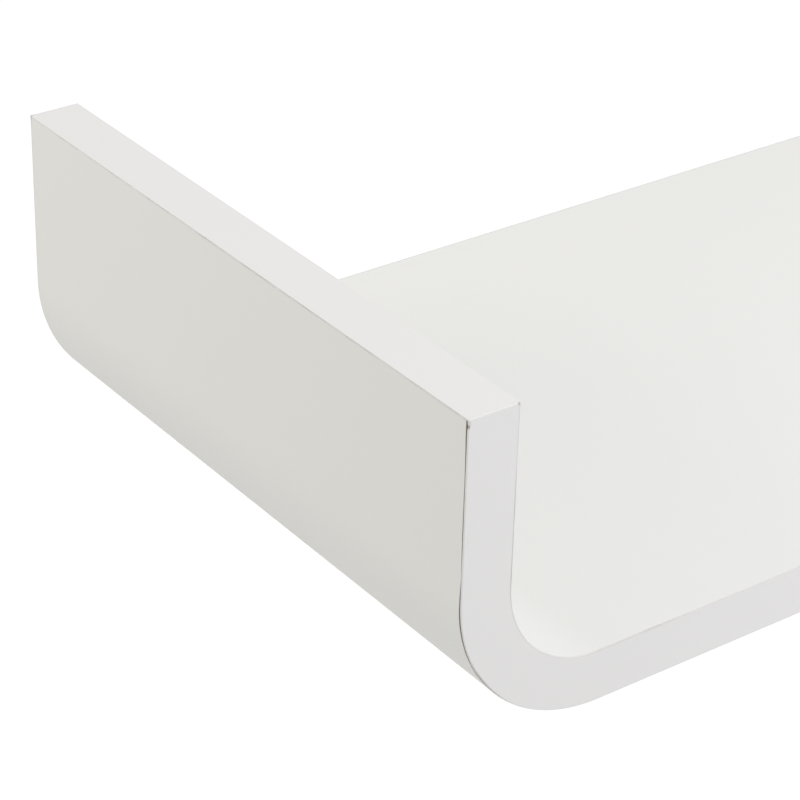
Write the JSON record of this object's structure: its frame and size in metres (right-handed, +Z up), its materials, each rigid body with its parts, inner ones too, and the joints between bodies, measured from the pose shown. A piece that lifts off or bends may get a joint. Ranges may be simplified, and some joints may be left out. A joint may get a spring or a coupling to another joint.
{
  "type": "floating wall shelf",
  "caption": "U-shaped floating wall shelf: a white board turned up at both ends in smooth round bends, hung by keyhole plates hidden in its rear edge.",
  "frame": {"origin": "on the wall plane, midway along the shelf, level with its underside", "axes": "+X along the shelf to the right as seen from the front, +Y into the wall, +Z up"},
  "size_m": [0.6, 0.2, 0.096],
  "materials": {
    "mdf": "matte",
    "beech": "matte",
    "white_laminate": "satin",
    "white_edging": "satin",
    "zinc_steel": "satin"
  },
  "bodies": {
    "root": {"shelf_panel": "mdf", "left_corner": "mdf", "right_corner": "mdf", "left_upright": "mdf", "right_upright": "mdf", "left_shelf_dowels": "beech", "right_shelf_dowels": "beech", "left_upright_dowels": "beech", "right_upright_dowels": "beech", "outer_laminate": "white_laminate", "inner_laminate": "white_laminate", "front_edge_strip": "white_edging", "rear_edge_strip": "white_edging", "left_top_strip": "white_edging", "right_top_strip": "white_edging", "left_hanger_plate": "zinc_steel", "right_hanger_plate": "zinc_steel", "left_hanger_screws": "zinc_steel", "right_hanger_screws": "zinc_steel"}
  },
  "joints": []
}
